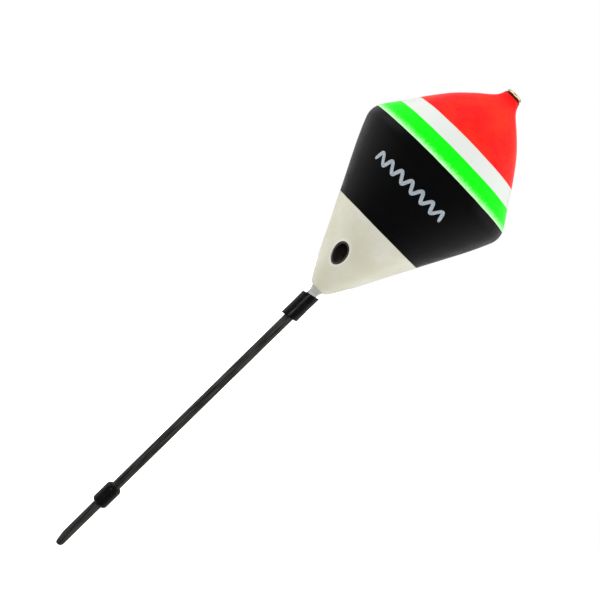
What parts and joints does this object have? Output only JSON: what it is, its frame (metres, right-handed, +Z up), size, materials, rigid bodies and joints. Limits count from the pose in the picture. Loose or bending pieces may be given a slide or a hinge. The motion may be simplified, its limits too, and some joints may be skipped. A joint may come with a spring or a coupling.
{
  "type": "through-line fishing float",
  "caption": "Through-line trout float: painted pear-shaped body with a line channel, on a thin stem with two grip sleeves.",
  "frame": {"origin": "centre of the eyelet's rim, at the very top of the float, where the line goes in", "axes": "+Z up along the axis of body and stem as the float rides in the water; the side hole faces -Y; +X is the side on which both skew cuts of the upper sleeve are higher"},
  "size_m": [0.0304, 0.0304, 0.1097],
  "materials": {
    "float_body": "satin to gloss paint in bands: fluorescent red, white, fluorescent green fading to white, black, and pearl white",
    "eyelet_brass": "polished pale brass",
    "tube_plastic": "satin black plastic",
    "clear_peg": "clear drawn rod",
    "sleeve_silicone": "satin black silicone",
    "stem_black": "satin black composite rod"
  },
  "bodies": {
    "float": {"float_body": "float_body", "top_eyelet": "eyelet_brass", "line_tube": "tube_plastic", "keel_peg": "clear_peg"},
    "sleeve": {"upper_sleeve": "sleeve_silicone"},
    "stem": {"stem": "stem_black"},
    "keeper": {"lower_sleeve": "sleeve_silicone"}
  },
  "joints": [
    {"name": "stem_twist", "type": "hinge", "parent": "float", "child": "sleeve", "pos_m": [0, 0, -0.05058], "axis": [0, 0, 1], "continuous": true},
    {"name": "stem_pull", "type": "slide", "parent": "sleeve", "child": "stem", "axis": [0, 0, -1], "range_m": [0, 0.0018]},
    {"name": "line_keeper_slide", "type": "slide", "parent": "stem", "child": "keeper", "axis": [0, 0, 1], "range_m": [-0.007, 0.041]}
  ]
}
